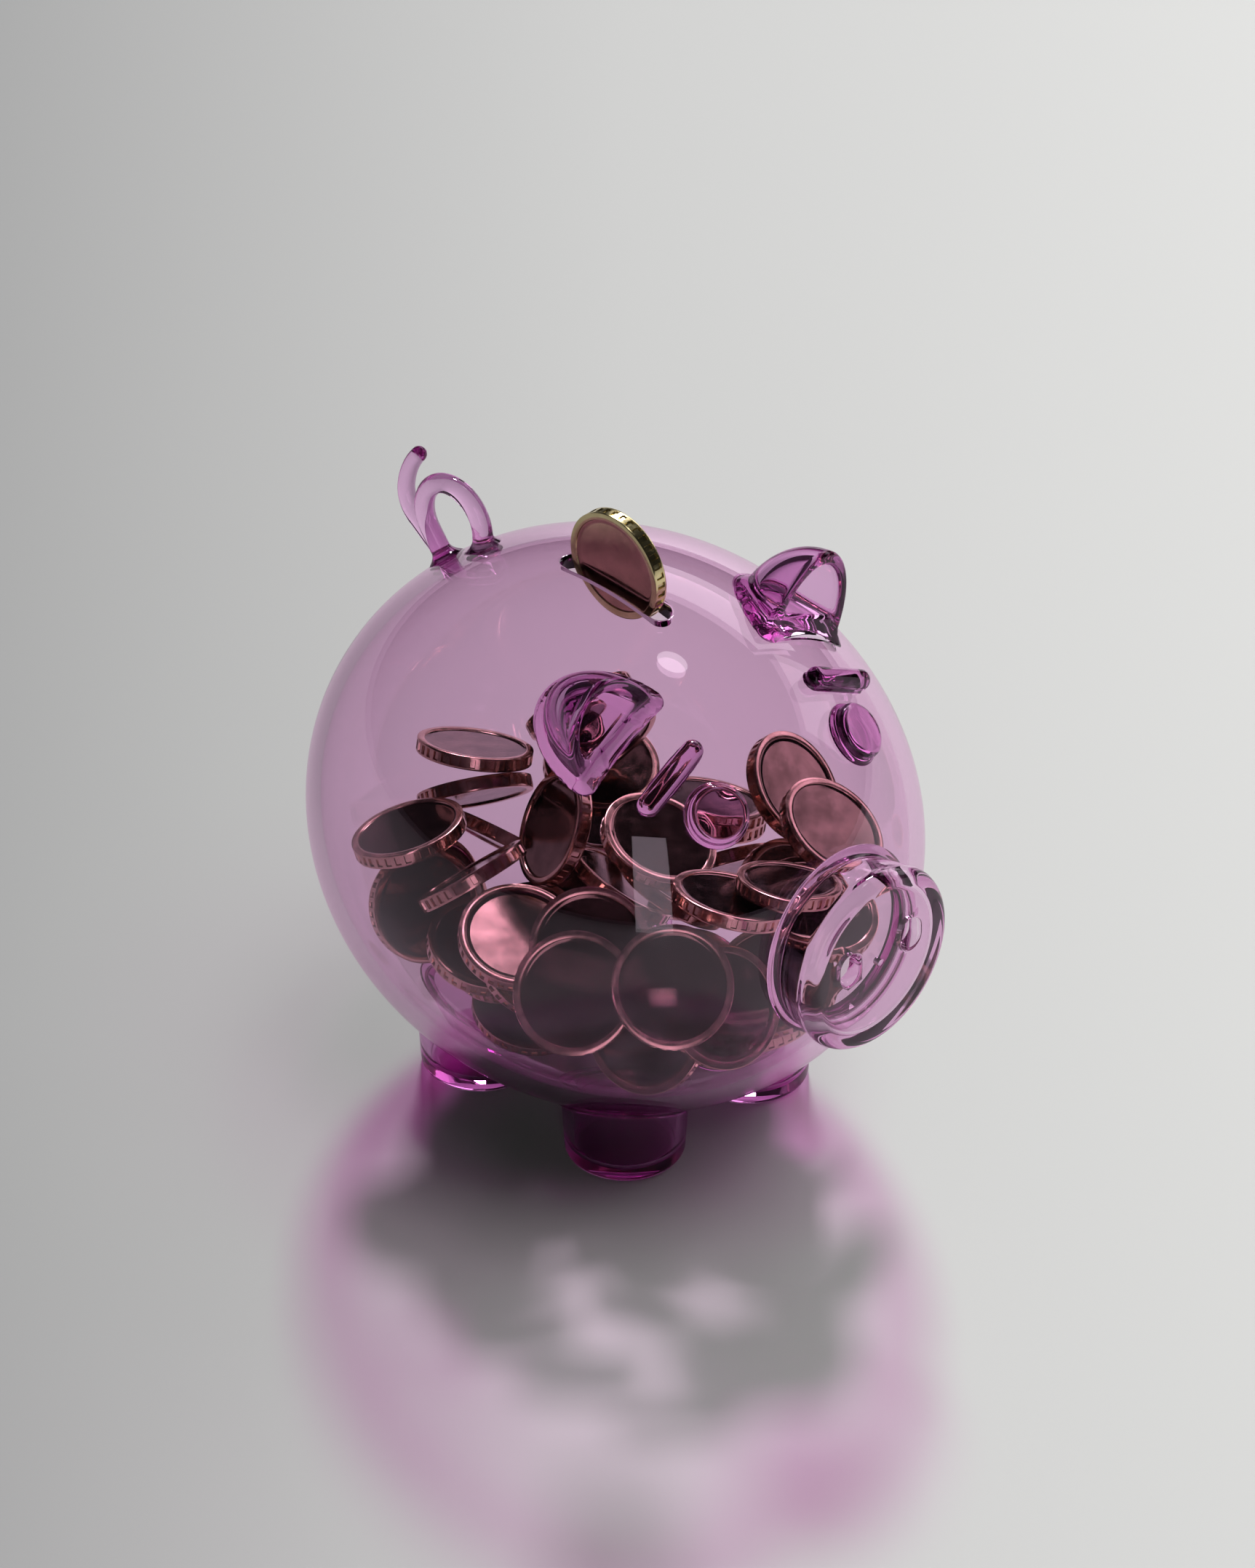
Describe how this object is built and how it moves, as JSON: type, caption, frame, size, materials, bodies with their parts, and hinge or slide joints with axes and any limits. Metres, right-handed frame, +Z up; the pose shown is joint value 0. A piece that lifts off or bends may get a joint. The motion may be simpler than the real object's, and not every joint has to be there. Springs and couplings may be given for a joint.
{
  "type": "piggy bank",
  "caption": "See-through glass pig money box with a coin slot in its back, a heap of coins inside and one coin part-way into the slot.",
  "frame": {"origin": "on the ground, under the middle of the whole object's box", "axes": "+X towards the snout, +Y towards the pig's left, +Z up"},
  "size_m": [0.1352, 0.112, 0.1319],
  "materials": {
    "clear_glass": "gloss",
    "deep_glass": "gloss",
    "gold_coin": "polished",
    "copper_coin": "polished"
  },
  "bodies": {
    "piggy_bank": {"body_shell": "clear_glass", "snout": "clear_glass", "ear_left": "deep_glass", "ear_right": "deep_glass", "eye_left": "deep_glass", "eye_right": "deep_glass", "brow_left": "deep_glass", "brow_right": "deep_glass", "foot_front_left": "deep_glass", "foot_front_right": "deep_glass", "foot_rear_left": "deep_glass", "foot_rear_right": "deep_glass", "tail": "deep_glass", "coin_01": "copper_coin", "coin_02": "copper_coin", "coin_03": "copper_coin", "coin_04": "copper_coin", "coin_05": "copper_coin", "coin_06": "copper_coin", "coin_07": "copper_coin", "coin_08": "copper_coin", "coin_09": "copper_coin", "coin_10": "copper_coin", "coin_11": "copper_coin", "coin_12": "copper_coin", "coin_13": "copper_coin", "coin_14": "copper_coin", "coin_15": "copper_coin", "coin_16": "copper_coin", "coin_17": "copper_coin", "coin_18": "copper_coin", "coin_19": "copper_coin", "coin_20": "copper_coin", "coin_21": "copper_coin", "coin_22": "copper_coin", "coin_23": "copper_coin", "coin_24": "copper_coin", "coin_25": "copper_coin", "coin_26": "copper_coin", "coin_27": "copper_coin", "coin_28": "copper_coin", "coin_29": "copper_coin", "coin_30": "copper_coin", "coin_31": "copper_coin", "coin_34": "copper_coin", "coin_35": "copper_coin", "coin_37": "copper_coin", "coin_41": "copper_coin"},
    "slot_coin": {"slot_coin": "gold_coin"},
    "coin_32": {"coin_32": "copper_coin"},
    "coin_33": {"coin_33": "copper_coin"},
    "coin_36": {"coin_36": "copper_coin"},
    "coin_38": {"coin_38": "copper_coin"},
    "coin_39": {"coin_39": "copper_coin"},
    "coin_40": {"coin_40": "copper_coin"},
    "coin_42": {"coin_42": "copper_coin"},
    "coin_43": {"coin_43": "copper_coin"},
    "coin_44": {"coin_44": "copper_coin"}
  },
  "joints": [
    {"name": "slot_coin_drop", "type": "slide", "parent": "piggy_bank", "child": "slot_coin", "axis": [0, 0, -1], "range_m": [-0.02, 0.03]},
    {"name": "coin_32_lift", "type": "slide", "parent": "piggy_bank", "child": "coin_32", "axis": [0, 0, 1], "range_m": [0, 0.012]},
    {"name": "coin_33_lift", "type": "slide", "parent": "piggy_bank", "child": "coin_33", "axis": [0, 0, 1], "range_m": [0, 0.009]},
    {"name": "coin_36_lift", "type": "slide", "parent": "piggy_bank", "child": "coin_36", "axis": [0, 0, 1], "range_m": [0, 0.012]},
    {"name": "coin_38_lift", "type": "slide", "parent": "piggy_bank", "child": "coin_38", "axis": [0, 0, 1], "range_m": [0, 0.012]},
    {"name": "coin_39_lift", "type": "slide", "parent": "piggy_bank", "child": "coin_39", "axis": [0, 0, 1], "range_m": [0, 0.012]},
    {"name": "coin_40_lift", "type": "slide", "parent": "piggy_bank", "child": "coin_40", "axis": [0, 0, 1], "range_m": [0, 0.012]},
    {"name": "coin_42_lift", "type": "slide", "parent": "piggy_bank", "child": "coin_42", "axis": [0, 0, 1], "range_m": [0, 0.012]},
    {"name": "coin_43_lift", "type": "slide", "parent": "piggy_bank", "child": "coin_43", "axis": [0, 0, 1], "range_m": [0, 0.012]},
    {"name": "coin_44_lift", "type": "slide", "parent": "piggy_bank", "child": "coin_44", "axis": [0, 0, 1], "range_m": [0, 0.012]}
  ]
}
